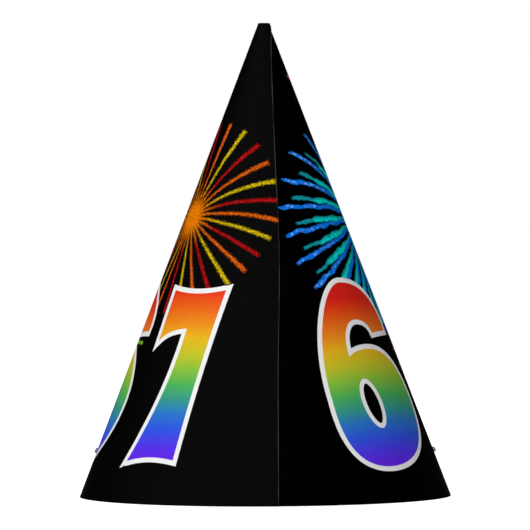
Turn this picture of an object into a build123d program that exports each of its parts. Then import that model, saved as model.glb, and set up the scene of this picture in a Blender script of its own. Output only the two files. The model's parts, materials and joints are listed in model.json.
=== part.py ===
"""Cone party hat: a rolled card cone taped along one lap, with an elastic chin cord held by two barbs.

Frame: millimetres, +Z up, origin at the centre of the rim plane. The lap seam faces -Y (the front),
and the two cord holes are at the left (-X) and right (+X) of the cone. A wrap angle is 0 at the front
and grows towards +X. The sheet spirals inwards as the wrap angle falls: from its outer edge at the
front, round the left side, the back and the right side, to its inner edge under the lap.
"""
from build123d import *
import math
import os

# Cone
RIM_DIAMETER = 139.7
HEIGHT = 177.8
TIP_DIAMETER = 3.8
CARD_THICKNESS = 0.4

# Lap seam: the outer edge and the hidden inner edge are straight cuts, parallel to the cone's axis
# when they are seen from the front
OUTER_EDGE_X = 4.9
INNER_EDGE_X = -9.1
TIP_WRAP = 80.0             # how far each end of the sheet wraps past the front at the tip
BACK_JOIN_WRAP = -200.0     # where the outer and inner halves of the sheet are modelled to meet
SPLINE_STEP = 12.0          # degrees of wrap between the points of a level line

# Double-sided tape inside the lap
TAPE_THICKNESS = 0.12
TAPE_WIDTH = 8.0
TAPE_BOTTOM = 4.0
TAPE_TOP = 150.0
TAPE_CLEARANCE = 0.01

# Cord holes, one on each side
HOLE_DIAMETER = 1.9
HOLE_HEIGHT = 17.3
LEFT_HOLE_WRAP = -90
RIGHT_HOLE_WRAP = -270

# Elastic cord: braided cover over a rubber core
CORD_DIAMETER = 1.0
CORE_DIAMETER = 0.56
CORE_CLEARANCE = 0.01
CORD_DEPTH = 57.5           # from the hole axis to the middle of the loop
CORD_BEND_SETBACK = 1.8     # from the card's outer face to where the cord leaves the hole's axis
CORD_STEPS = 8              # points of the loop's curve on each side of its middle
CORD_MIDDLE_FLATNESS = 3    # the higher this power, the wider the flat middle of the loop
CORD_END_FLATNESS = 2       # and the longer the cord runs straight in from each hole
CORD_FLOOR_GAP = 0.4        # the loop's lowest point above the rim plane at rest

# Barb: a short flat bar across the end of the cord, outside the card
BARB_LENGTH = 9.0
BARB_WIDTH = 1.3
BARB_THICKNESS = 0.7
BARB_EYE_DIAMETER = 2.1
BARB_SOCKET_DIAMETER = 1.44
BARB_WALL_GAP = 0.03
BARB_EDGE_RADIUS = 0.15
BARB_CUTTER_HEIGHT = 2 * BARB_THICKNESS     # passes right through the eye

# Worked out from the above
BEYOND_CONE = 2 * RIM_DIAMETER      # reaches past the cone whichever way a cut is made
RIM_RADIUS = RIM_DIAMETER / 2
TIP_RADIUS = TIP_DIAMETER / 2
SLOPE = (RIM_RADIUS - TIP_RADIUS) / HEIGHT
HALF_ANGLE = math.degrees(math.atan(SLOPE))
LAYER_GAP = TAPE_THICKNESS + 2 * TAPE_CLEARANCE
LAYER_PITCH = CARD_THICKNESS + LAYER_GAP
CORD_RADIUS = CORD_DIAMETER / 2


def cone_radius(z):
    """Outside radius of the cone at height z, at the back where the spiral is at its mean."""
    return RIM_RADIUS - SLOPE * z


def sheet_radius(wrap, z):
    """Radius of the sheet's outer face: it grows by one layer for each full turn."""
    return cone_radius(z) + LAYER_PITCH * (wrap + 180) / 360


def polar(wrap, radius, z):
    angle = math.radians(wrap)
    return Vector(radius * math.sin(angle), -radius * math.cos(angle), z)


def spiral_curve(wrap_from, wrap_to, inset, z):
    """A level line of the rolled sheet, inset radially from its outer face."""
    steps = math.ceil((wrap_to - wrap_from) / SPLINE_STEP)
    wraps = [wrap_from + (wrap_to - wrap_from) * i / steps for i in range(steps + 1)]
    growth = LAYER_PITCH / (2 * math.pi)

    def point(wrap):
        return polar(wrap, sheet_radius(wrap, z) - inset, z)

    def direction(wrap):
        return polar(wrap + 90, sheet_radius(wrap, z) - inset, 0) + polar(wrap, growth, 0)

    return Edge.make_spline(
        [point(wrap) for wrap in wraps],
        tangents=[direction(wrap_from), direction(wrap_to)],
        parameters=[math.radians(wrap) for wrap in wraps],
        scale=False,
    )


def rolled_strip(wrap_from, wrap_to, inset, thickness, z_from, z_to):
    """A strip that follows the rolled sheet, made of straight lines down the cone."""
    sections = []
    for z in (z_from, z_to):
        outer = spiral_curve(wrap_from, wrap_to, inset, z)
        inner = spiral_curve(wrap_from, wrap_to, inset + thickness, z)
        first_end = Edge.make_line(outer @ 0, inner @ 0)
        last_end = Edge.make_line(inner @ 1, outer @ 1)
        sections.append(Wire([outer, last_end, inner, first_end]))
    return Solid.make_loft(sections, ruled=True)


def front_block(x_from, x_to):
    """A block in front of the cone's axis, between two upright planes."""
    middle = Pos((x_from + x_to) / 2, -BEYOND_CONE / 2, HEIGHT / 2)
    return middle * Box(x_to - x_from, BEYOND_CONE, BEYOND_CONE)


def cord_holes():
    """One round cutter for both holes, along their shared axis."""
    return Pos(0, 0, HOLE_HEIGHT) * Rot(0, 90, 0) * Cylinder(HOLE_DIAMETER / 2, BEYOND_CONE)


def make_card_cone():
    """One sheet, made as an outer and an inner half so that each edge of the lap is cut on its own."""
    outer_half = rolled_strip(BACK_JOIN_WRAP, TIP_WRAP, 0, CARD_THICKNESS, 0, HEIGHT)
    outer_half = outer_half - front_block(OUTER_EDGE_X, BEYOND_CONE)
    inner_half = rolled_strip(-360 - TIP_WRAP, BACK_JOIN_WRAP, 0, CARD_THICKNESS, 0, HEIGHT)
    inner_half = inner_half - front_block(-BEYOND_CONE, INNER_EDGE_X)
    return outer_half + inner_half - cord_holes()


def make_seam_tape():
    """A strip between the two layers of the lap, with a hair's clearance to each."""
    middle = (OUTER_EDGE_X + INNER_EDGE_X) / 2
    strip = rolled_strip(
        -TIP_WRAP, TIP_WRAP, CARD_THICKNESS + TAPE_CLEARANCE, TAPE_THICKNESS, TAPE_BOTTOM, TAPE_TOP
    )
    return strip & front_block(middle - TAPE_WIDTH / 2, middle + TAPE_WIDTH / 2)


def wall_x(side):
    """X of the card's outer face at the cord hole; side is +1 on the +X side and -1 on the other."""
    wrap = RIGHT_HOLE_WRAP if side > 0 else LEFT_HOLE_WRAP
    return side * sheet_radius(wrap, HOLE_HEIGHT)


def barb_centre(side):
    """Where the cord's axis crosses the middle of the barb's thickness."""
    lift = (BARB_WALL_GAP + BARB_THICKNESS / 2) / math.cos(math.radians(HALF_ANGLE))
    return Vector(wall_x(side) + side * lift, 0, HOLE_HEIGHT)


def barb_plane(side):
    """Local X runs level along the wall, local Z runs out of the wall."""
    angle = math.radians(HALF_ANGLE)
    outward = Vector(side * math.cos(angle), 0, math.sin(angle))
    return Plane(origin=barb_centre(side), x_dir=(0, 1, 0), z_dir=outward)


def make_barb(side):
    """A round-ended bar with a wider eye at its middle, and rounded edges on its outer face."""
    bar = extrude(SlotOverall(BARB_LENGTH, BARB_WIDTH), BARB_THICKNESS / 2, both=True)
    eye = Cylinder(BARB_EYE_DIAMETER / 2, BARB_THICKNESS)
    body = bar + eye
    outer_edges = body.edges().group_by(Axis.Z)[-1]
    body = fillet(outer_edges, BARB_EDGE_RADIUS)
    body = body - Cylinder(BARB_SOCKET_DIAMETER / 2, BARB_CUTTER_HEIGHT)
    return barb_plane(side) * body


def loop_depth(share):
    """Depth of the loop; share is 0 at its middle and 1 where it meets a hole's axis."""
    return CORD_DEPTH * (1 - share**CORD_MIDDLE_FLATNESS) ** CORD_END_FLATNESS


def cord_path():
    """Centre line of the hanging loop in a flat plane: X across the cone, Y the loop's depth."""
    bend_start = wall_x(1) - CORD_BEND_SETBACK
    shares = [i / CORD_STEPS for i in range(-CORD_STEPS, CORD_STEPS + 1)]
    points = [(bend_start * share, loop_depth(abs(share))) for share in shares]
    loop = Spline(*points, tangents=[(1, 0), (1, 0)], tangent_scalars=[1, 1])
    left_stub = Line((-abs(barb_centre(-1).X) - BARB_THICKNESS / 2, 0), (-bend_start, 0))
    right_stub = Line((bend_start, 0), (barb_centre(1).X + BARB_THICKNESS / 2, 0))
    return Wire([left_stub, loop, right_stub])


def place_cord(solid):
    """Tips the loop down towards the back until it almost reaches the rim plane."""
    dip = math.degrees(math.asin((HOLE_HEIGHT - CORD_RADIUS - CORD_FLOOR_GAP) / CORD_DEPTH))
    return Pos(0, 0, HOLE_HEIGHT) * Rot(-dip, 0, 0) * solid


def sweep_along_cord(profile):
    path = cord_path()
    start = Plane(origin=path @ 0, z_dir=path % 0)
    return place_cord(sweep(start * profile, path=path))


def make_elastic_core():
    return sweep_along_cord(Circle(CORE_DIAMETER / 2))


def make_elastic_cover():
    bore = Circle(CORE_DIAMETER / 2 + CORE_CLEARANCE)
    return sweep_along_cord(Circle(CORD_RADIUS) - bore)


NODES = {
    "card_cone": make_card_cone,
    "seam_tape": make_seam_tape,
    "elastic_core": make_elastic_core,
    "elastic_cover": make_elastic_cover,
    "left_end_barb": lambda: make_barb(-1),
    "right_end_barb": lambda: make_barb(1),
}

os.makedirs("parts", exist_ok=True)
for name, make in NODES.items():
    export_step(make(), os.path.join("parts", name + ".step"))
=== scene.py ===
"""Looks of a cone party hat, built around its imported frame.

Shapes are worked out in millimetres in the hat's own frame (+Z up, lapped seam at the front, -Y) and
turned into metres when a mesh is made. The card is a flat sheet rolled into a cone, so a place on it
is given by its wrap angle (0 at the front, falling as the sheet spirals inwards round the left side,
the back and the right side) and by its slant, the distance down the card from the cone's apex.
"""
import json
import math

import bpy
import numpy as np
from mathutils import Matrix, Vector, kdtree
from mathutils.geometry import delaunay_2d_cdt


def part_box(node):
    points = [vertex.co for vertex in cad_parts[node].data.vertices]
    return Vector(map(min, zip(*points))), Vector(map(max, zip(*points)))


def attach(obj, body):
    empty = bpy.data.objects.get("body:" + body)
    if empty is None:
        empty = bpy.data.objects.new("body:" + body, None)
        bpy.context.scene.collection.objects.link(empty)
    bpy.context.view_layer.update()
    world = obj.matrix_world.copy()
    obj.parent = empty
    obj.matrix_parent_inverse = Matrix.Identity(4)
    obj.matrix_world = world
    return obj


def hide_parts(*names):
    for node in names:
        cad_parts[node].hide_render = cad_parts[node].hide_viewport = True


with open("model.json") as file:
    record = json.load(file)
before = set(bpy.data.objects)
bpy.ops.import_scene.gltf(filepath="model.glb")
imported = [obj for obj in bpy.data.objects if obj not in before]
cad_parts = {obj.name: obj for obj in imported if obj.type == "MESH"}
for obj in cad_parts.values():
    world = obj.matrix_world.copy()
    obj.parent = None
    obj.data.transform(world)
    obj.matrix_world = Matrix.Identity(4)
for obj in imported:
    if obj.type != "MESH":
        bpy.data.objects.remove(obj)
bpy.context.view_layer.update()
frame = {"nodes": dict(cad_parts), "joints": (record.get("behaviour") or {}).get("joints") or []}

MM = 0.001
TAU = 2 * math.pi

# ---------------------------------------------------------------- sizes, mm

# Card and cord gauges, as in the CAD part
CARD_THICKNESS = 0.4
LAYER_PITCH = 0.54
HOLE_RADIUS = 0.95
BARB_THICKNESS = 0.7
BARB_WALL_GAP = 0.03
CORD_RADIUS = 0.5
CORE_RADIUS = 0.28
CORD_DEPTH = 57.5
CORD_BEND_SETBACK = 1.8
CORD_MIDDLE_FLATNESS = 3
CORD_END_FLATNESS = 2
INNER_EDGE_X = -9.1
TIP_WRAP = 80.0

# The lap's free edge, seen from the front
EDGE_X = 4.7
EDGE_BOW = 0.7
EDGE_BOW_Z = 85
EDGE_BOW_SPREAD = 25
EDGE_LEAN = 2.1
EDGE_LEAN_FROM_Z = 95
EDGE_LIFT = 0.15
EDGE_LIFT_WIDTH = 1.2
EDGE_LIFT_FULL_RADIUS = 15

# How far the card departs from a true cone
OVALITY = 0.3
RIPPLE = 0.05
LAP_FLATNESS = 0.22
LAP_MIDDLE_X = -2
LAP_SPREAD = 8
LAP_FULL_RADIUS = 30

# Printed film on the card and ink on the film
FILM_THICKNESS = 0.03
INK_PROUD = 0.03
INK_SUNK = 0.008

# Worked out from the frame
joints = {joint["name"]: joint for joint in frame["joints"]}
left_turn, right_turn = joints["left_barb_turn"], joints["right_barb_turn"]
SLOPE = right_turn["axis"][2] / right_turn["axis"][0]
HALF_ANGLE = math.atan(SLOPE)
HOLE_Z = right_turn["pos_m"][2] / MM
BARB_LIFT = (BARB_WALL_GAP + BARB_THICKNESS / 2) / math.cos(HALF_ANGLE)
HOLE_LEVEL_RADIUS = (right_turn["pos_m"][0] - left_turn["pos_m"][0]) / 2 / MM - BARB_LIFT
RIM_RADIUS = HOLE_LEVEL_RADIUS + SLOPE * HOLE_Z
APEX_Z = RIM_RADIUS / SLOPE
card_low, card_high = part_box("card_cone")
HEIGHT = (card_high.z - card_low.z) / MM


# ---------------------------------------------------------------- the rolled sheet

def smoothstep(x, low, high):
    t = np.clip((x - low) / (high - low), 0, 1)
    return t * t * (3 - 2 * t)


def cone_radius(z):
    return RIM_RADIUS - SLOPE * z


def outer_edge_x(z):
    """The lap's free edge, seen from the front: nearly upright, with a slight bow."""
    bow = EDGE_BOW * np.exp(-(((z - EDGE_BOW_Z) / EDGE_BOW_SPREAD) ** 2))
    return EDGE_X + bow - EDGE_LEAN * smoothstep(z, EDGE_LEAN_FROM_Z, HEIGHT)


def edge_wrap(x, z):
    """Wrap angle at which an upright edge at x crosses level z; it curls round at the narrow tip."""
    sine = np.clip(x / cone_radius(z), -1, 1)
    return np.minimum(np.degrees(np.arcsin(sine)), TIP_WRAP)


def sheet_start(z):
    """Wrap angle of the card's inner edge, under the lap."""
    return -360 - edge_wrap(-INNER_EDGE_X, z)


def sheet_end(z):
    """Wrap angle of the lap's free edge."""
    return edge_wrap(outer_edge_x(z), z)


def unevenness(wrap, z):
    """How far the card departs from a true cone: slightly oval, flatter at the stiff lap, gently uneven."""
    angle = np.radians(wrap)
    clear_of_barbs = np.cos(angle) ** 2
    low = 1 - z / HEIGHT
    oval = OVALITY * clear_of_barbs * low
    ripple = RIPPLE * clear_of_barbs * np.sin(3 * angle + 1.3 + z / 40) * np.sin(math.pi * z / HEIGHT)
    across = cone_radius(z) * np.sin(angle)
    at_front = np.cos(angle) > 0
    near_lap = at_front * np.exp(-(((across - LAP_MIDDLE_X) / LAP_SPREAD) ** 2))
    lap = -LAP_FLATNESS * near_lap * np.minimum(1, cone_radius(z) / LAP_FULL_RADIUS)
    return oval + ripple + lap


def free_edge_lift(wrap, z):
    """The lap's free edge stands a little proud of the panel below it."""
    distance = np.radians(sheet_end(z) - wrap) * cone_radius(z)
    fade = np.minimum(1, cone_radius(z) / EDGE_LIFT_FULL_RADIUS)
    return EDGE_LIFT * np.exp(-distance / EDGE_LIFT_WIDTH) * fade


def sheet_points(wrap, z, inset):
    """Points of the rolled sheet, inset from its outer face, as an array of x, y, z."""
    angle = np.radians(wrap)
    radius = cone_radius(z) + LAYER_PITCH * (wrap + 180) / 360 - inset
    radius = radius + unevenness(wrap, z) + free_edge_lift(wrap, z)
    return np.stack([radius * np.sin(angle), -radius * np.cos(angle), z], axis=-1)


def flat_position(wrap, slant):
    """Place on the unrolled sheet: x to the right and y up, with the apex at the origin."""
    spread = np.radians(wrap) * math.sin(HALF_ANGLE)
    return slant * np.sin(spread), -slant * np.cos(spread)


def rolled_position(flat_x, flat_y):
    """Wrap angle and height of a place on the unrolled sheet."""
    spread = np.arctan2(flat_x, -flat_y)
    slant = np.hypot(flat_x, flat_y)
    return np.degrees(spread) / math.sin(HALF_ANGLE), APEX_Z - slant * math.cos(HALF_ANGLE)


# ---------------------------------------------------------------- mesh helpers

def make_object(name, points, faces, smooth_angle=30):
    mesh = bpy.data.meshes.new(name)
    mesh.from_pydata((np.asarray(points) * MM).tolist(), [], faces)
    mesh.validate()
    piece = bpy.data.objects.new(name, mesh)
    bpy.context.scene.collection.objects.link(piece)
    mesh.polygons.foreach_set("use_smooth", [True] * len(mesh.polygons))
    mesh.set_sharp_from_angle(angle=math.radians(smooth_angle))
    return piece


def add_attribute(piece, name, kind, values):
    attribute = piece.data.attributes.new(name, kind, "POINT")
    field = "vector" if kind == "FLOAT_VECTOR" else "value"
    attribute.data.foreach_set(field, np.asarray(values, dtype=np.float32).ravel())


def grid_faces(rows, columns, start=0, flip=False):
    """Quads of a grid of points, stored row by row from index start."""
    faces = []
    for row in range(rows - 1):
        for column in range(columns - 1):
            a = start + row * columns + column
            quad = (a, a + 1, a + columns + 1, a + columns)
            faces.append(quad[::-1] if flip else quad)
    return faces


def border_loop(rows, columns):
    """Indices round the border of a grid, in order."""
    bottom = list(range(columns))
    right = [row * columns + columns - 1 for row in range(1, rows)]
    top = [(rows - 1) * columns + column for column in range(columns - 2, -1, -1)]
    left = [row * columns for row in range(rows - 2, 0, -1)]
    return bottom + right + top + left


def cut_cord_holes(piece):
    """Drills both cord holes through a sheet piece, and leaves no modifier on it."""
    bpy.ops.mesh.primitive_cylinder_add(
        vertices=32, radius=HOLE_RADIUS * MM, depth=3 * RIM_RADIUS * MM,
        location=(0, 0, HOLE_Z * MM), rotation=(0, math.pi / 2, 0),
    )
    drill = bpy.context.object
    cut = piece.modifiers.new("cord_holes", "BOOLEAN")
    cut.operation = "DIFFERENCE"
    cut.solver = "EXACT"
    cut.object = drill
    bpy.context.view_layer.update()
    evaluated = piece.evaluated_get(bpy.context.evaluated_depsgraph_get())
    drilled = bpy.data.meshes.new_from_object(evaluated)
    piece.modifiers.clear()
    piece.data = drilled
    bpy.data.objects.remove(drill)


def make_sheet(name, inset_outer, inset_inner, rows=125, columns=330):
    """A closed sheet between two insets, from rim to tip, with its wrap and height at every vertex."""
    level = np.linspace(0, HEIGHT, rows)[:, None]
    share = np.linspace(0, 1, columns)[None, :]
    start, end = sheet_start(level), sheet_end(level)
    wrap = start + (end - start) * share
    z = np.repeat(level, columns, axis=1)
    layers = [sheet_points(wrap, z, inset).reshape(-1, 3) for inset in (inset_outer, inset_inner)]
    points = np.concatenate(layers)
    count = rows * columns
    faces = grid_faces(rows, columns) + grid_faces(rows, columns, start=count, flip=True)
    border = border_loop(rows, columns)
    for a, b in zip(border, border[1:] + border[:1]):
        faces.append((b, a, a + count, b + count))
    piece = make_object(name, points, faces)
    cut_cord_holes(piece)
    store_sheet_places(piece, points * MM, np.tile(wrap.ravel(), 2), np.tile(z.ravel(), 2))
    return piece


def store_sheet_places(piece, grid_points, wrap, z):
    """Gives every vertex its place on the unrolled sheet, from the nearest point of the sheet's grid."""
    tree = kdtree.KDTree(len(grid_points))
    for index, point in enumerate(grid_points):
        tree.insert(point, index)
    tree.balance()
    nearest = np.array([tree.find(vertex.co)[1] for vertex in piece.data.vertices])
    wrap, z = wrap[nearest], z[nearest]
    slant = (APEX_Z - z) / math.cos(HALF_ANGLE)
    flat_x, flat_y = flat_position(wrap, slant)
    edge = np.radians(sheet_end(z) - wrap) * cone_radius(z)
    add_attribute(piece, "flat", "FLOAT_VECTOR", np.stack([flat_x, flat_y, np.zeros_like(z)], axis=-1))
    add_attribute(piece, "edge", "FLOAT", edge)
    add_attribute(piece, "turn", "FLOAT", (wrap + 360) / 360)


# ---------------------------------------------------------------- numerals

BORDER_WIDTH = 1.9
GRID_PITCH = 1.6
GRID_ROW_SHARE = 0.87       # row pitch over grid pitch, for nearly even triangles
SHARPEST_MITRE = 0.35
OFFSET_TOLERANCE = 0.97
MERGE_DISTANCE = 1e-5

def bezier(*points, steps=22):
    """Points of a cubic curve, without the last one."""
    p = [np.array(point, float) for point in points]
    ts = [i / steps for i in range(steps)]
    return [
        (1 - t) ** 3 * p[0] + 3 * t * (1 - t) ** 2 * p[1] + 3 * t * t * (1 - t) * p[2] + t ** 3 * p[3]
        for t in ts
    ]


def ellipse(centre, radii, tilt=0, steps=56):
    points = []
    for i in range(steps):
        x, y = radii[0] * math.cos(TAU * i / steps), radii[1] * math.sin(TAU * i / steps)
        c, s = math.cos(tilt), math.sin(tilt)
        points.append(np.array([centre[0] + c * x - s * y, centre[1] + s * x + c * y]))
    return points


def polyline(*points, spacing=1.5):
    """Points along straight lines, without the last one."""
    out = []
    for a, b in zip(points[:-1], points[1:]):
        a, b = np.array(a, float), np.array(b, float)
        steps = max(1, round(np.linalg.norm(b - a) / spacing))
        out += [a + (b - a) * i / steps for i in range(steps)]
    return out


def outline_one():
    """A bold figure one, 67 high: a leaning stem with a short flag, dished at top and foot."""
    outer = bezier((-12.5, 67.3), (-4, 64.7), (4, 64.7), (11.5, 67.3))
    outer += bezier((11.5, 67.3), (8.7, 45), (6.7, 22), (5.7, 0.6))
    outer += bezier((5.7, 0.6), (-2, 1.8), (-9, 1.8), (-17.4, 0.4))
    outer += bezier((-17.4, 0.4), (-9, 15), (-3, 32), (-1.5, 51.5))
    outer += bezier((-1.5, 51.5), (-6.5, 51.5), (-11.5, 50.5), (-15.5, 47.5))
    outer += polyline((-15.5, 47.5), (-12.5, 67.3))
    return [outer]


def outline_six():
    """A plain bold figure six, 72 high: a round bowl with a counter, and an arm over it."""
    outer = bezier((19.5, 54), (19.5, 64), (8, 72), (-4, 72))
    outer += bezier((-4, 72), (-13, 72), (-23.4, 49), (-23.4, 28))
    outer += bezier((-23.4, 28), (-24.8, 9.5), (-19.5, 0), (-5, 0))
    outer += bezier((-5, 0), (9, 0), (24.5, 9.5), (24.5, 25))
    outer += bezier((24.5, 25), (24.5, 36), (15, 44.5), (4, 45.5))
    outer += bezier((4, 45.5), (-2, 46), (-7.5, 45), (-10, 43))
    outer += bezier((-10, 43), (-10.5, 50.5), (-7, 57.2), (-1.5, 57.2))
    outer += bezier((-1.5, 57.2), (3, 57.2), (6, 55.5), (7, 52))
    outer += polyline((7, 52), (19.5, 54))
    return [outer, ellipse((-5.2, 24.5), (5.2, 9.8), tilt=math.radians(8))]


def distance_to(points, outline):
    """Distance from each point to the nearest side of a closed outline."""
    start = np.array(outline)
    side = np.roll(start, -1, axis=0) - start
    gap = points[:, None, :] - start[None, :, :]
    along = np.clip((gap * side).sum(axis=-1) / (side * side).sum(axis=-1), 0, 1)
    return np.linalg.norm(gap - along[..., None] * side, axis=-1).min(axis=1)


def offset_outline(points, distance):
    """Moves a closed outline sideways by distance, to its right when positive, with mitred corners."""
    p = np.array(points)
    before, after = np.roll(p, 1, axis=0) - p, np.roll(p, -1, axis=0) - p
    before /= np.linalg.norm(before, axis=1, keepdims=True)
    after /= np.linalg.norm(after, axis=1, keepdims=True)
    normal_in = np.stack([-before[:, 1], before[:, 0]], axis=1)
    normal_out = np.stack([after[:, 1], -after[:, 0]], axis=1)
    mean = normal_in + normal_out
    mean /= np.linalg.norm(mean, axis=1, keepdims=True)
    spread = np.maximum(SHARPEST_MITRE, (mean * normal_out).sum(axis=1))
    moved = p + mean * (distance / spread)[:, None]
    return moved[distance_to(moved, p) > OFFSET_TOLERANCE * abs(distance)]


def signed_area(points):
    x, y = np.array(points).T
    return 0.5 * float(np.sum(x * np.roll(y, -1) - y * np.roll(x, -1)))


def inside(points, outline):
    """Whether each point lies inside a closed outline, by counting crossings."""
    x, y = points[:, 0], points[:, 1]
    result = np.zeros(len(points), bool)
    for a, b in zip(outline, np.roll(outline, -1, axis=0)):
        crosses = (a[1] > y) != (b[1] > y)
        reach = a[0] + (y - a[1]) * (b[0] - a[0]) / (b[1] - a[1] + 1e-12)
        result ^= crosses & (x < reach)
    return result


def cord_hole_outlines(wrap_centre, slant_base, plate):
    """Outlines, in a numeral's own plane, of the cord holes that fall inside its plate."""
    slant = (APEX_Z - HOLE_Z) / math.cos(HALF_ANGLE)
    outlines = []
    for hole_wrap in (-90, -270):
        spread = math.radians(hole_wrap - wrap_centre) * math.sin(HALF_ANGLE)
        centre = (slant * math.sin(spread), slant_base - slant * math.cos(spread))
        radii = (HOLE_RADIUS, HOLE_RADIUS / math.cos(HALF_ANGLE))
        outline = np.array(ellipse(centre, radii, steps=24))
        if inside(outline, plate).all():
            outlines.append(outline)
    return outlines


def closed_edges(loops):
    """The points of some closed loops in one list, and the edges that join them."""
    points, edges = [], []
    for loop in loops:
        first = len(points)
        points += [tuple(p) for p in loop]
        edges += [(first + i, first + (i + 1) % len(loop)) for i in range(len(loop))]
    return points, edges


def filling_points(plate, borders):
    """An even grid of points inside a plate, kept clear of its border points."""
    low, high = plate.min(axis=0), plate.max(axis=0)
    grid = np.array([
        (x + 0.5 * GRID_PITCH * (row % 2), y)
        for row, y in enumerate(np.arange(low[1], high[1], GRID_PITCH * GRID_ROW_SHARE))
        for x in np.arange(low[0], high[0], GRID_PITCH)
    ])
    clear = np.array([np.min(np.hypot(*(borders - g).T)) > 0.5 * GRID_PITCH for g in grid])
    return [tuple(p) for p in grid[clear & inside(grid, plate)]]


def inside_without(points, outer, cut_outs):
    """Whether each point lies inside an outline and outside all of its cut-outs."""
    result = inside(points, outer)
    for outline in cut_outs:
        result &= ~inside(points, outline)
    return result


def make_numeral(name, outlines, wrap_centre, slant_base, red_at):
    """Ink plate for a numeral, laid on the film: a coloured figure with an even white border.

    The rainbow starts at the height red_at above the foot.
    """
    fills = [np.array(o)[::1 if signed_area(o) > 0 else -1] for o in outlines]
    borders = [BORDER_WIDTH] + [-BORDER_WIDTH] * (len(fills) - 1)
    rims = [offset_outline(fill, border) for fill, border in zip(fills, borders)]
    holes = cord_hole_outlines(wrap_centre, slant_base, rims[0])
    points, edges = closed_edges(fills + rims + holes)
    points += filling_points(rims[0], np.array(points))
    vectors = [Vector(p) for p in points]
    verts, _, triangles, *_ = delaunay_2d_cdt(vectors, edges, [], 0, MERGE_DISTANCE)
    flat = np.array([tuple(v) for v in verts])
    middles = np.array([flat[list(t)].mean(axis=0) for t in triangles])
    in_plate = inside_without(middles, rims[0], rims[1:] + holes)
    in_fill = inside_without(middles, fills[0], fills[1:])
    kept = [t for t, keep in zip(triangles, in_plate) if keep]
    slots = [int(f) for f, keep in zip(in_fill, in_plate) if keep]
    return plate_on_sheet(name, flat, kept, slots, wrap_centre, slant_base, red_at)


def plate_on_sheet(name, flat, triangles, slots, wrap_centre, slant_base, red_at):
    """Wraps flat triangles onto the sheet as a thin closed plate.

    Material slot 0 is the border and slot 1 the figure.
    """
    used = sorted({i for t in triangles for i in t})
    index = {old: new for new, old in enumerate(used)}
    flat = flat[used]
    triangles = [tuple(index[i] for i in t) for t in triangles]
    slant = slant_base - flat[:, 1]
    spread = math.radians(wrap_centre) * math.sin(HALF_ANGLE)
    flat_x = slant * math.sin(spread) + flat[:, 0] * math.cos(spread)
    flat_y = -slant * math.cos(spread) + flat[:, 0] * math.sin(spread)
    wrap, z = rolled_position(flat_x, flat_y)
    count = len(flat)
    layers = [sheet_points(wrap, z, inset) for inset in (-INK_PROUD, INK_SUNK)]
    faces = list(triangles) + [tuple(i + count for i in t[::-1]) for t in triangles]
    slots = slots + slots
    directed = {(t[i], t[(i + 1) % 3]) for t in triangles for i in range(3)}
    for a, b in sorted(directed):
        if (b, a) not in directed:
            faces.append((b, a, a + count, b + count))
            slots.append(0)
    piece = make_object(name, np.concatenate(layers), faces, smooth_angle=40)
    piece.data.polygons.foreach_set("material_index", slots)
    down = (red_at - flat[:, 1]) / (red_at - flat[:, 1].min())
    add_attribute(piece, "down", "FLOAT", np.tile(down, 2))
    places = np.stack([flat_x, flat_y, np.zeros_like(flat_x)], axis=-1)
    add_attribute(piece, "flat", "FLOAT_VECTOR", np.tile(places, (2, 1)))
    return piece


# ---------------------------------------------------------------- chin cord

YARNS_EACH_WAY = 6
YARN_PITCH = 3.4
YARN_WEAVE = 0.045
YARN_INSET = 0.12
YARN_HALF_SIZE = (0.07, 0.17)
LINING_INSET = 0.16
CORE_THREADS = 6
THREAD_SHARE = 0.36         # a thread's radius over the core's
THREAD_RING_SHARE = 0.6     # where the ring of threads sits over the core's radius

def cord_span():
    """Half the distance between the bends of the cord, just inside the two holes."""
    return HOLE_LEVEL_RADIUS - LAYER_PITCH / 4 - CORD_BEND_SETBACK


def cord_dip():
    """Angle below level at which the loop lies at rest, from the box of the cord."""
    low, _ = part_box("elastic_cover")
    return math.asin((HOLE_Z - low.z / MM - CORD_RADIUS) / CORD_DEPTH)


def cord_centre_line(spacing=0.4):
    """Points along the cord, from the left barb to the right one."""
    span, dip = cord_span(), cord_dip()
    end = (right_turn["pos_m"][0] - left_turn["pos_m"][0]) / 2 / MM + BARB_THICKNESS / 2
    inner = np.linspace(-span, span, 2001)
    depth = CORD_DEPTH * (1 - np.abs(inner / span) ** CORD_MIDDLE_FLATNESS) ** CORD_END_FLATNESS
    x = np.concatenate([[-end], inner, [end]])
    depth = np.concatenate([[0], depth, [0]])
    length = np.concatenate([[0], np.cumsum(np.hypot(np.diff(x), np.diff(depth)))])
    even = np.linspace(0, length[-1], round(length[-1] / spacing))
    x, depth = np.interp(even, length, x), np.interp(even, length, depth)
    points = np.stack([x, depth * math.cos(dip), HOLE_Z - depth * math.sin(dip)], axis=-1)
    return points, even


def path_frames(points, dip):
    """Two directions across the cord at each point: in the plane of the loop, and square to it."""
    along = np.gradient(points, axis=0)
    along /= np.linalg.norm(along, axis=1, keepdims=True)
    square = np.array([0, math.sin(dip), math.cos(dip)])
    in_plane = np.cross(square, along)
    return in_plane, np.tile(square, (len(points), 1))


def tube(points, first_side, second_side, radii, sides):
    """Closed tube round a line of points; radii is (first, second) for its cross-section."""
    angles = TAU * np.arange(sides) / sides
    rings = (
        points[:, None, :]
        + radii[0] * np.cos(angles)[None, :, None] * first_side[:, None, :]
        + radii[1] * np.sin(angles)[None, :, None] * second_side[:, None, :]
    )
    count = len(points)
    faces = []
    for i in range(count - 1):
        for j in range(sides):
            a, b = i * sides + j, i * sides + (j + 1) % sides
            faces.append((a, a + sides, b + sides, b))
    faces.append(tuple(range(sides)))
    faces.append(tuple((count - 1) * sides + j for j in reversed(range(sides))))
    return rings.reshape(-1, 3), faces


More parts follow.
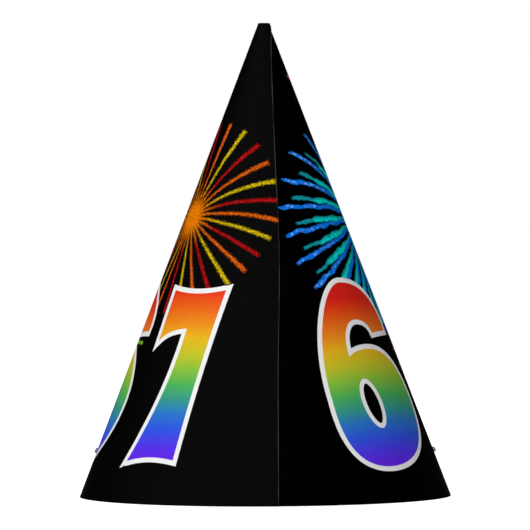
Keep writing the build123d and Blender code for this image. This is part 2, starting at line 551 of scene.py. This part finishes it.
def join_meshes(parts):
    """The points and faces of several meshes as those of one."""
    points, faces = [], []
    start = 0
    for part_points, part_faces in parts:
        points.append(part_points)
        faces += [tuple(i + start for i in face) for face in part_faces]
        start += len(part_points)
    return np.concatenate(points), faces


def make_cord_braid():
    """Braided cover: flat yarns wound both ways, each passing over and under the ones it crosses."""
    centre, length = cord_centre_line()
    first, second = path_frames(centre, cord_dip())
    lining = CORD_RADIUS - LINING_INSET
    parts = [tube(centre, first, second, (lining, lining), 10)]
    for hand in (1, -1):
        for yarn in range(YARNS_EACH_WAY):
            turn = hand * TAU * length / YARN_PITCH + TAU * yarn / YARNS_EACH_WAY
            phase = YARNS_EACH_WAY * TAU * length / YARN_PITCH + math.pi * yarn
            weave = YARN_WEAVE * hand * np.sin(phase)
            radius = (CORD_RADIUS - YARN_INSET + weave)[:, None]
            outward = first * np.cos(turn)[:, None] + second * np.sin(turn)[:, None]
            sideways = -first * np.sin(turn)[:, None] + second * np.cos(turn)[:, None]
            parts.append(tube(centre + outward * radius, outward, sideways, YARN_HALF_SIZE, 6))
    return make_object("cord_braid", *join_meshes(parts), smooth_angle=60)


def make_cord_core():
    """Rubber core: a bundle of fine square-cut threads, seen only at the two cut ends."""
    centre, _ = cord_centre_line(spacing=1.2)
    first, second = path_frames(centre, cord_dip())
    parts = []
    thread = CORE_RADIUS * THREAD_SHARE
    for i in range(CORE_THREADS):
        angle = TAU * i / CORE_THREADS
        offset = (first * math.cos(angle) + second * math.sin(angle)) * CORE_RADIUS * THREAD_RING_SHARE
        parts.append(tube(centre + offset, first, second, (thread, thread), 6))
    parts.append(tube(centre, first, second, (thread, thread), 6))
    return make_object("cord_core", *join_meshes(parts), smooth_angle=60)


# ---------------------------------------------------------------- material helpers

def srgb(red, green, blue):
    """Display colour, 0 to 255, as the linear colour that a material takes."""
    def linear(c):
        c /= 255
        return c / 12.92 if c <= 0.04045 else ((c + 0.055) / 1.055) ** 2.4
    return (linear(red), linear(green), linear(blue), 1.0)


class Signal:
    """A value inside a material, with plain arithmetic."""

    def __init__(self, net, socket):
        self.net = net
        self.socket = socket

    def __add__(self, other):
        return self.net.math("ADD", self, other)

    def __sub__(self, other):
        return self.net.math("SUBTRACT", self, other)

    def __rsub__(self, other):
        return self.net.math("SUBTRACT", other, self)

    def __mul__(self, other):
        return self.net.math("MULTIPLY", self, other)

    def __truediv__(self, other):
        return self.net.math("DIVIDE", self, other)

    __radd__ = __add__
    __rmul__ = __mul__


class Net:
    """A node material written as arithmetic."""

    def __init__(self, name):
        self.material = bpy.data.materials.new(name)
        self.material.use_nodes = True
        self.tree = self.material.node_tree
        self.tree.nodes.clear()

    def node(self, kind, **settings):
        node = self.tree.nodes.new(kind)
        for key, value in settings.items():
            setattr(node, key, value)
        return node

    def feed(self, socket, value):
        if isinstance(value, Signal):
            self.tree.links.new(value.socket, socket)
        else:
            socket.default_value = value

    def math(self, operation, *values):
        node = self.node("ShaderNodeMath", operation=operation)
        for socket, value in zip(node.inputs, values):
            self.feed(socket, value)
        return Signal(self, node.outputs[0])

    def vector_math(self, operation, *values, output=0):
        node = self.node("ShaderNodeVectorMath", operation=operation)
        for socket, value in zip(node.inputs, values):
            self.feed(socket, value)
        return Signal(self, node.outputs[output])

    def attribute(self, name, output="Fac"):
        node = self.node("ShaderNodeAttribute", attribute_name=name)
        return Signal(self, node.outputs[output])

    def place(self):
        """Position on the object, in millimetres."""
        node = self.node("ShaderNodeTexCoord")
        scaled = self.vector_math("SCALE", Signal(self, node.outputs["Object"]))
        scaled.socket.node.inputs["Scale"].default_value = 1 / MM
        return scaled

    def split(self, vector):
        node = self.node("ShaderNodeSeparateXYZ")
        self.feed(node.inputs[0], vector)
        return [Signal(self, socket) for socket in node.outputs]

    def noise(self, vector, scale, detail=3.0, roughness=0.55, output="Fac"):
        node = self.node("ShaderNodeTexNoise")
        self.feed(node.inputs["Vector"], vector)
        node.inputs["Scale"].default_value = scale
        node.inputs["Detail"].default_value = detail
        node.inputs["Roughness"].default_value = roughness
        return Signal(self, node.outputs[output])

    def chance(self, number, seed=0.0):
        """An even random value for each whole number."""
        node = self.node("ShaderNodeTexWhiteNoise", noise_dimensions="1D")
        self.feed(node.inputs["W"], number + seed)
        return Signal(self, node.outputs["Value"])

    def ramp_up(self, value, low, high):
        """0 below low, 1 above high, smooth between."""
        node = self.node("ShaderNodeMapRange", interpolation_type="SMOOTHSTEP")
        self.feed(node.inputs["Value"], value)
        self.feed(node.inputs["From Min"], low)
        self.feed(node.inputs["From Max"], high)
        return Signal(self, node.outputs[0])

    def mix(self, first, second, share):
        node = self.node("ShaderNodeMix", data_type="RGBA")
        self.feed(node.inputs[0], share)
        self.feed(node.inputs[6], first)
        self.feed(node.inputs[7], second)
        return Signal(self, node.outputs[2])

    def colours(self, value, stops, steps=False):
        """Colour ramp; stops is a list of (place, colour)."""
        node = self.node("ShaderNodeValToRGB")
        ramp = node.color_ramp
        ramp.interpolation = "CONSTANT" if steps else "LINEAR"
        while len(ramp.elements) < len(stops):
            ramp.elements.new(1.0)
        for element, (place, colour) in zip(ramp.elements, stops):
            element.position = place
            element.color = colour
        self.feed(node.inputs[0], value)
        return Signal(self, node.outputs[0])

    def brighten(self, colour, amount):
        """Colour times a number."""
        node = self.node("ShaderNodeVectorMath", operation="SCALE")
        self.feed(node.inputs[0], colour)
        self.feed(node.inputs["Scale"], amount)
        return Signal(self, node.outputs[0])

    def bump(self, height, strength, distance=0.02):
        node = self.node("ShaderNodeBump")
        node.inputs["Strength"].default_value = strength
        node.inputs["Distance"].default_value = distance * MM
        self.feed(node.inputs["Height"], height)
        return Signal(self, node.outputs[0])

    def surface(self, colour, roughness, normal=None, **more):
        """Finishes the material; more holds other inputs of the Principled shader."""
        shader = self.node("ShaderNodeBsdfPrincipled")
        self.feed(shader.inputs["Base Color"], colour)
        self.feed(shader.inputs["Roughness"], roughness)
        if normal is not None:
            self.feed(shader.inputs["Normal"], normal)
        for key, value in more.items():
            self.feed(shader.inputs[key.replace("_", " ")], value)
        output = self.node("ShaderNodeOutputMaterial")
        self.tree.links.new(shader.outputs[0], output.inputs["Surface"])
        return self.material


# ---------------------------------------------------------------- print: fireworks

# Black of the front-left panel: the ink's near-pure black with a painted sheen of the front-left light on
# it
LIT_PANEL_BLACK = srgb(11, 11, 11)
LONGEST_WAY = 0.925         # direction, on the flat sheet, in which a leaning burst reaches furthest
EYE_SHARE = 0.15            # part of a burst's radius in which its streaks stop swirling
AQUA_TURN = math.radians(4.1)
AQUA_LENGTH = 0.895
FIBRE = {"detail": 6.0, "roughness": 0.62}


class Firework:
    """A burst of streaks round a point of the unrolled sheet. Sizes in mm, angles in radians.

    The centre is given by its wrap angle, in degrees, and its slant. Arch bends the streaks, miss
    lets them pass to one side of the centre, and lean makes them shorter on the side away from
    LONGEST_WAY. Wave and ragged roughen their course and their sides.
    """

    def __init__(self, wrap, slant, radius, streaks, palette, seed,
                 width=0.8, twist=0.0, arch=0.0, miss=0.0, lean=0.0, wave=0.25, ragged=3.8, glow=None):
        self.centre = flat_position(wrap, slant)
        self.radius = radius
        self.streaks = streaks
        self.palette = palette
        self.seed = seed
        self.width = width
        self.twist = twist
        self.arch = arch
        self.miss = miss
        self.lean = lean
        self.wave = wave
        self.ragged = ragged
        self.glow = glow


RED, YELLOW, ORANGE = (184, 20, 20), (226, 196, 16), (232, 104, 18)
CRIMSON, ROSE, WINE = (200, 35, 85), (225, 90, 135), (160, 20, 60)
GREEN, TEAL, LIME = (60, 175, 70), (30, 145, 155), (150, 200, 50)
AZURE, PALE_BLUE = (0, 122, 240), (150, 195, 255)
AQUA, DEEP_TEAL = (0, 240, 228), (24, 130, 150)

BLUE_BURST = Firework(-253.1, 98.8, 56.6, 30, [AZURE], seed=23, width=1.05, twist=0.245,
                      arch=0.13, miss=0.26, lean=0.34, wave=1.5, ragged=1.3)
CHALK_BURSTS = [
    Firework(-63.8, 83.5, 38.0, 30, [RED, YELLOW, ORANGE], seed=11, twist=0.10, glow=(255, 136, 4)),
    Firework(-185, 29.8, 19.1, 14, [CRIMSON, ROSE, WINE], seed=37, twist=0.04),
    Firework(-176, 104, 36, 30, [CRIMSON, ROSE, WINE], seed=71, glow=(225, 40, 90)),
    Firework(-100, 134, 23, 18, [TEAL, LIME, GREEN], seed=41, width=0.7),
    Firework(-258, 141, 19, 18, [ORANGE, GREEN, YELLOW], seed=53, width=0.7),
    Firework(-184, 163, 21, 21, [GREEN, TEAL, LIME], seed=67, glow=(60, 170, 90)),
]


class BurstDrawing:
    """The fields that the strands of one firework are drawn from."""

    def __init__(self, net, flat, work):
        self.net = net
        self.work = work
        centred = net.vector_math("SUBTRACT", flat, (*work.centre, 0.0))
        wander = net.noise(centred, 0.17 + 0.01 * (work.seed % 7), detail=2.0, output="Color")
        wander = net.brighten(net.vector_math("SUBTRACT", wander, (0.5, 0.5, 0.5)), 2 * work.wave)
        x, y, _ = net.split(net.vector_math("ADD", centred, wander))
        self.reach = net.math("SQRT", x * x + y * y)
        self.share = self.reach / work.radius
        aside = net.math("DIVIDE", work.miss, net.math("MAXIMUM", self.share, EYE_SHARE))
        direction = net.math("ARCTAN2", y, x)
        self.angle = direction + self.share * work.arch + aside
        self.fullness = net.math("COSINE", direction - LONGEST_WAY) * work.lean + (1 - work.lean)
        self.rough = net.noise(flat, 1.9, detail=3.0, roughness=0.8) - 0.5
        self.grain = net.noise(flat, 1.5, detail=2.0, roughness=0.8)

    def strands(self, turned, length, half_width):
        """Coverage of an even fan of strands, the number of each, and the distance across it."""
        net, work = self.net, self.work
        count = (self.angle + (turned + math.pi)) * (work.streaks / TAU)
        number = net.math("FLOOR", count)
        across = (net.math("FRACT", count) - 0.5) * self.reach * (TAU / work.streaks)
        ragged = self.rough * net.ramp_up(self.share, 0.0, 0.25) * work.ragged
        inset = half_width + ragged - net.math("ABSOLUTE", across)
        uneven = net.chance(number, work.seed) * 0.05 + 0.97
        limit = uneven * self.fullness * length + self.rough * 3
        cover = net.ramp_up(inset, -0.12, 0.22) * net.ramp_up(limit - self.reach, -0.4, 0.9)
        return cover, number, across


def draw_chalk_burst(net, flat, ground, work):
    """Lays a firework over the ground colour, as grainy chalk streaks that widen outwards."""
    burst = BurstDrawing(net, flat, work)
    half_width = (burst.share * 0.75 + 0.25) * work.width
    cover, number, _ = burst.strands(work.twist, work.radius, half_width)
    place_in_palette = net.math("FRACT", (number + 0.5) / len(work.palette))
    stops = [(i / len(work.palette), srgb(*c)) for i, c in enumerate(work.palette)]
    colour = net.colours(place_in_palette, stops, steps=True)
    if work.glow:
        core = net.ramp_up(burst.share, 0.42, 0.16)
        colour = net.mix(colour, srgb(*work.glow), core)
        haze = net.ramp_up(burst.share + burst.rough * 0.5, 0.22, 0.05)
        ground = net.mix(ground, srgb(*work.glow), haze)
    inked = net.brighten(colour, net.ramp_up(burst.grain, 0.40, 0.58) * 0.85 + 0.32)
    return net.mix(ground, inked, cover)


def draw_blue_burst(net, flat, ground, work):
    """Lays a firework of wavy azure strands, each with an aqua strand along one side."""
    burst = BurstDrawing(net, flat, work)
    share = burst.share
    slender = net.ramp_up(share, 0.0, 0.30) * 0.85 + 0.15
    pointed = net.ramp_up(share, 1.03, 0.86) * 0.55 + 0.45
    half_width = (share * 0.35 + 0.62) * pointed * slender * work.width
    cover, _, across = burst.strands(work.twist, work.radius, half_width)
    middle = net.ramp_up(net.math("ABSOLUTE", across), 0.75, 0.15)
    streaky = net.ramp_up(net.noise(flat, 0.7, detail=3.0), 0.49, 0.62)
    lit = middle * streaky * net.ramp_up(share, 0.5, 0.8)
    azure = net.mix(srgb(*AZURE), srgb(*PALE_BLUE), lit)
    azure = net.brighten(azure, net.ramp_up(burst.grain, 0.35, 0.6) * 0.35 + 0.7)
    ground = net.mix(ground, azure, cover)

    bright = net.ramp_up(share, 0.30, 0.56) * net.ramp_up(share, 0.75, 0.70)
    half_width = (bright * 0.48 + 0.66) * slender * work.width
    cover, _, across = burst.strands(work.twist + AQUA_TURN, work.radius * AQUA_LENGTH, half_width)
    shaded_side = net.ramp_up(across, -0.1, -0.8)
    patchy = net.ramp_up(net.noise(flat, 0.8, detail=3.0, roughness=0.5), 0.60, 0.40)
    aqua = net.mix(srgb(*DEEP_TEAL), srgb(*AQUA), (bright * 0.8 + 0.2) * (1 - shaded_side * 0.8))
    aqua = net.mix(aqua, srgb(*DEEP_TEAL), patchy * 0.35)
    aqua = net.brighten(aqua, net.ramp_up(burst.grain, 0.35, 0.6) * 0.3 + 0.75)
    return net.mix(ground, aqua, cover)


def film_material():
    """Gloss-laminated black print with fireworks, with painted sheen on its front-left panel and painted
    shade round the rest of the sheet; it pales at the cut edge of the lap, partly as worn ink and partly as
    a painted highlight.
    """
    net = Net("printed_film")
    flat = net.attribute("flat", "Vector")
    turn = net.attribute("turn")
    mottle = net.noise(flat, 0.35, detail=4.0)
    # Painted light and shade: the black is lighter from the front-left panel to the lap's edge, then fades
    # to near pure black towards the left side and stays so round the back and the right side
    colour = net.mix(srgb(1, 1, 1), LIT_PANEL_BLACK, net.ramp_up(turn, 0.77, 0.92))
    colour = net.brighten(colour, mottle * 0.5 + 0.75)
    for work in CHALK_BURSTS:
        colour = draw_chalk_burst(net, flat, colour, work)
    colour = draw_blue_burst(net, flat, colour, BLUE_BURST)
    frayed = net.noise(flat, 2.6, detail=4.0, roughness=0.7)
    patchy = net.ramp_up(net.noise(flat, 0.06, detail=3.0), 0.36, 0.60)
    edge = net.attribute("edge")
    # Pale grey line along the lap's free edge: partly worn ink at the cut, partly a painted highlight where
    # the edge catches the light
    worn = net.ramp_up(edge + frayed * 0.25, 0.42, 0.10) * (patchy * 0.7 + 0.3)
    colour = net.mix(colour, srgb(96, 95, 92), worn * 0.9)
    fibre = net.noise(flat, 0.9, **FIBRE)
    peel = net.noise(flat, 3.2, detail=2.0)
    roughness = mottle * 0.16 + 0.42 + worn * 0.2
    normal = net.bump(fibre * 0.7 + peel * 0.3, 0.35, distance=0.03)
    return net.surface(colour, roughness, normal, Specular_IOR_Level=0.004)


# Places down a figure, from 0 at the top to 1 at the foot, and the print's colours there
RAINBOW = [
    (0.0, (228, 34, 22)), (0.05, (238, 62, 22)), (0.13, (240, 104, 24)), (0.21, (243, 142, 28)),
    (0.295, (238, 186, 30)), (0.38, (205, 200, 40)), (0.465, (142, 198, 62)), (0.55, (78, 184, 88)),
    (0.635, (56, 157, 142)), (0.71, (44, 122, 206)), (0.795, (48, 88, 232)), (0.88, (82, 56, 240)),
    (0.97, (108, 32, 236)),
]


def rainbow_material():
    """Figure ink: red at the top through the rainbow to violet at the foot."""
    net = Net("rainbow_ink")
    flat = net.attribute("flat", "Vector")
    colour = net.colours(net.attribute("down"), [(place, srgb(*c)) for place, c in RAINBOW])
    grain = net.noise(flat, 4.5, detail=3.0)
    cloud = net.noise(flat, 0.22, detail=2.0)
    colour = net.brighten(colour, grain * 0.08 + cloud * 0.08 + 0.92)
    normal = net.bump(net.noise(flat, 0.9, **FIBRE), 0.3, distance=0.03)
    return net.surface(colour, cloud * 0.14 + 0.36, normal, Specular_IOR_Level=0.12)


def border_material():
    """White ink round the figures, with the card's faint tooth in it."""
    net = Net("white_ink")
    flat = net.attribute("flat", "Vector")
    cloud = net.noise(flat, 0.3, detail=4.0)
    colour = net.mix(srgb(240, 240, 241), srgb(254, 254, 254), cloud)
    normal = net.bump(net.noise(flat, 1.1, detail=6.0, roughness=0.6), 0.3, distance=0.03)
    return net.surface(colour, cloud * 0.15 + 0.38, normal, Specular_IOR_Level=0.12)


# ---------------------------------------------------------------- plain materials

def card_material():
    """Bare white card: the inside of the cone and every cut edge, with fibres and a few flecks."""
    net = Net("white_card")
    flat = net.attribute("flat", "Vector")
    cloud = net.noise(flat, 0.12, detail=5.0)
    stretched = net.vector_math("MULTIPLY", flat, (0.35, 1.6, 1.0))
    fibre = net.noise(stretched, 1.4, detail=6.0, roughness=0.7)
    fleck = net.ramp_up(net.noise(flat, 1.7, detail=1.0), 0.72, 0.80)
    colour = net.mix(srgb(228, 226, 220), srgb(246, 245, 241), cloud * 0.6 + fibre * 0.4)
    colour = net.mix(colour, srgb(196, 190, 178), fleck * 0.5)
    normal = net.bump(fibre, 0.5, distance=0.04)
    return net.surface(colour, fibre * 0.12 + 0.74, normal, Specular_IOR_Level=0.25)


def braid_material():
    """Fine black polyester yarn, a little dusty on its crowns."""
    net = Net("black_braid")
    place = net.place()
    stretched = net.vector_math("MULTIPLY", place, (1.0, 4.0, 4.0))
    fibre = net.noise(stretched, 3.0, detail=5.0, roughness=0.7)
    colour = net.mix(srgb(16, 16, 18), srgb(44, 44, 48), fibre)
    normal = net.bump(fibre, 0.6, distance=0.02)
    return net.surface(colour, fibre * 0.2 + 0.55, normal, Sheen_Weight=0.35, Sheen_Roughness=0.4)


def rubber_material():
    """Raw latex thread, cream coloured."""
    net = Net("latex_core")
    place = net.place()
    cloud = net.noise(place, 1.6, detail=4.0)
    colour = net.mix(srgb(205, 190, 152), srgb(226, 214, 182), cloud)
    normal = net.bump(net.noise(place, 6.0), 0.3)
    return net.surface(colour, cloud * 0.2 + 0.5, normal, Subsurface_Weight=0.1)


def barb_material():
    """Blackened steel, bright where its edges are worn, with fine drawn lines along the bar."""
    net = Net("blackened_steel")
    place = net.place()
    stretched = net.vector_math("MULTIPLY", place, (6.0, 0.5, 6.0))
    lines = net.noise(stretched, 2.2, detail=4.0)
    cloud = net.noise(place, 0.9, detail=5.0, roughness=0.65)
    geometry = net.node("ShaderNodeNewGeometry")
    worn = net.ramp_up(Signal(net, geometry.outputs["Pointiness"]) + cloud * 0.05, 0.54, 0.60)
    colour = net.mix(srgb(28, 28, 30), srgb(58, 57, 56), cloud)
    colour = net.mix(colour, srgb(168, 166, 160), worn * 0.8)
    normal = net.bump(lines, 0.35, distance=0.01)
    return net.surface(colour, lines * 0.15 + 0.32, normal, Metallic=0.9)


def tape_material():
    """Thin double-sided tape, slightly yellow and tacky."""
    net = Net("adhesive_tape")
    place = net.place()
    cloud = net.noise(place, 0.5, detail=5.0)
    colour = net.mix(srgb(206, 200, 180), srgb(228, 224, 208), cloud)
    normal = net.bump(net.noise(place, 2.0, detail=4.0), 0.3)
    return net.surface(colour, cloud * 0.3 + 0.3, normal)


def floor_material():
    """Plain pale floor with the faintest tooth."""
    net = Net("pale_floor")
    place = net.place()
    cloud = net.noise(place, 0.01, detail=3.0)
    colour = net.mix(srgb(250, 250, 250), srgb(254, 254, 254), cloud)
    seen = Signal(net, net.node("ShaderNodeLightPath").outputs["Is Camera Ray"])
    away = net.vector_math("LENGTH", place, output="Value")
    lift = net.ramp_up(away, 150, 700) * 0.35 + 0.65
    return net.surface(
        colour, 0.9, Specular_IOR_Level=0.0, Emission_Color=colour, Emission_Strength=seen * lift
    )


# ---------------------------------------------------------------- build the hat

def set_materials(piece, *materials):
    """Puts one material in each of the piece's slots."""
    slots = piece.data.materials
    for index, material in enumerate(materials):
        if index < len(slots):
            slots[index] = material
        else:
            slots.append(material)


def add_card():
    """The card body and its printed film, which together stand for the CAD card."""
    card = make_sheet("card_sheet", FILM_THICKNESS, CARD_THICKNESS)
    set_materials(card, card_material())
    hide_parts("card_cone")
    film = make_sheet("print_film", 0.0, FILM_THICKNESS)
    set_materials(film, film_material())
    for piece in (card, film):
        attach(piece, "hat")


# Name, outline, wrap of the middle, slant of the foot, and height at which the red starts
FIGURES = [
    ("figure_one_left", outline_one(), -37, 179, 69),
    ("figure_six_left", outline_six(), -93.7, 181.5, 65.5),
    ("figure_six_right", outline_six(), -309.5, 181.5, 65.5),
    ("figure_one_right", outline_one(), -250, 179, 69),
]


def add_numerals():
    """Two pairs of figures round the cone: the left pair near the front, the right pair to the back."""
    rainbow, border = rainbow_material(), border_material()
    for name, outlines, wrap, slant, red_at in FIGURES:
        figure = make_numeral(name, outlines, wrap, slant, red_at)
        set_materials(figure, border, rainbow)
        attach(figure, "hat")


def add_cord():
    """The braid and the rubber threads, which stand for the CAD cord's cover and core."""
    braid = make_cord_braid()
    set_materials(braid, braid_material())
    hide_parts("elastic_cover")
    core = make_cord_core()
    set_materials(core, rubber_material())
    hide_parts("elastic_core")
    for piece in (braid, core):
        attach(piece, "chin_cord")


def finish_cad_nodes():
    """Materials for the pieces shown straight from the CAD part."""
    steel = barb_material()
    for node in ("left_end_barb", "right_end_barb"):
        set_materials(frame["nodes"][node], steel)
    set_materials(frame["nodes"]["seam_tape"], tape_material())


# ---------------------------------------------------------------- stage, in metres

CAMERA_DISTANCE = 1.714
CAMERA_HEIGHT = 0.0980
CAMERA_AIM = (0.0001, 0.0, 0.0868)
CAMERA_ROLL = -0.25
FIELD_WIDTH = 0.1995        # width of the picture at the hat's axis
SENSOR = 36.0

FLOOR_SIZE = 8.0
FLOOR_GAP = 0.0001
SKY_STRENGTH = 0.05

# Name, place, power in watts and diameter of each light, all aimed at the middle of the hat
LIGHTS = [
    ("key", (-0.45, -0.75, 1.45), 13, 0.6),
    ("low", (-0.60, -1.45, 0.12), 9.5, 0.6),
    ("fill", (0.9, -0.7, 1.2), 0.6, 0.7),
    ("top", (0.0, 0.2, 1.7), 4, 1.2),
    ("back", (0.1, 1.0, 1.3), 6, 0.8),
]


def add_floor():
    bpy.ops.mesh.primitive_plane_add(size=FLOOR_SIZE, location=(0, 0, -FLOOR_GAP))
    floor = bpy.context.object
    floor.name = "floor"
    floor.data.materials.append(floor_material())


def add_area_light(name, place, power, size):
    light = bpy.data.lights.new(name, "AREA")
    light.shape = "DISK"
    light.energy = power
    light.size = size
    lamp = bpy.data.objects.new(name, light)
    lamp.location = place
    aim = Vector((0, 0, HEIGHT * MM / 2)) - Vector(place)
    lamp.rotation_euler = aim.to_track_quat("-Z", "Y").to_euler()
    bpy.context.scene.collection.objects.link(lamp)


def add_world():
    """White to the camera, and a dim even sky to everything else."""
    world = bpy.data.worlds.new("studio")
    bpy.context.scene.world = world
    world.use_nodes = True
    tree = world.node_tree
    tree.nodes.clear()
    path = tree.nodes.new("ShaderNodeLightPath")
    seen = tree.nodes.new("ShaderNodeBackground")
    sky = tree.nodes.new("ShaderNodeBackground")
    seen.inputs[0].default_value = (1, 1, 1, 1)
    sky.inputs[0].default_value = (1, 1, 1, 1)
    sky.inputs[1].default_value = SKY_STRENGTH
    mix = tree.nodes.new("ShaderNodeMixShader")
    output = tree.nodes.new("ShaderNodeOutputWorld")
    tree.links.new(path.outputs["Is Camera Ray"], mix.inputs[0])
    tree.links.new(sky.outputs[0], mix.inputs[1])
    tree.links.new(seen.outputs[0], mix.inputs[2])
    tree.links.new(mix.outputs[0], output.inputs[0])


def add_camera():
    camera_data = bpy.data.cameras.new("camera")
    camera_data.sensor_width = SENSOR
    camera_data.lens = SENSOR * CAMERA_DISTANCE / FIELD_WIDTH
    camera = bpy.data.objects.new("camera", camera_data)
    camera.location = (0, -CAMERA_DISTANCE, CAMERA_HEIGHT)
    aim = Vector(CAMERA_AIM) - camera.location
    camera.rotation_euler = aim.to_track_quat("-Z", "Y").to_euler()
    camera.rotation_euler.rotate_axis("Z", math.radians(CAMERA_ROLL))
    bpy.context.scene.collection.objects.link(camera)
    bpy.context.scene.camera = camera


def add_stage():
    add_floor()
    add_world()
    for light in LIGHTS:
        add_area_light(*light)
    add_camera()
    bpy.context.scene.view_settings.view_transform = "Standard"


add_card()
add_numerals()
add_cord()
finish_cad_nodes()
add_stage()

bpy.context.view_layer.update()
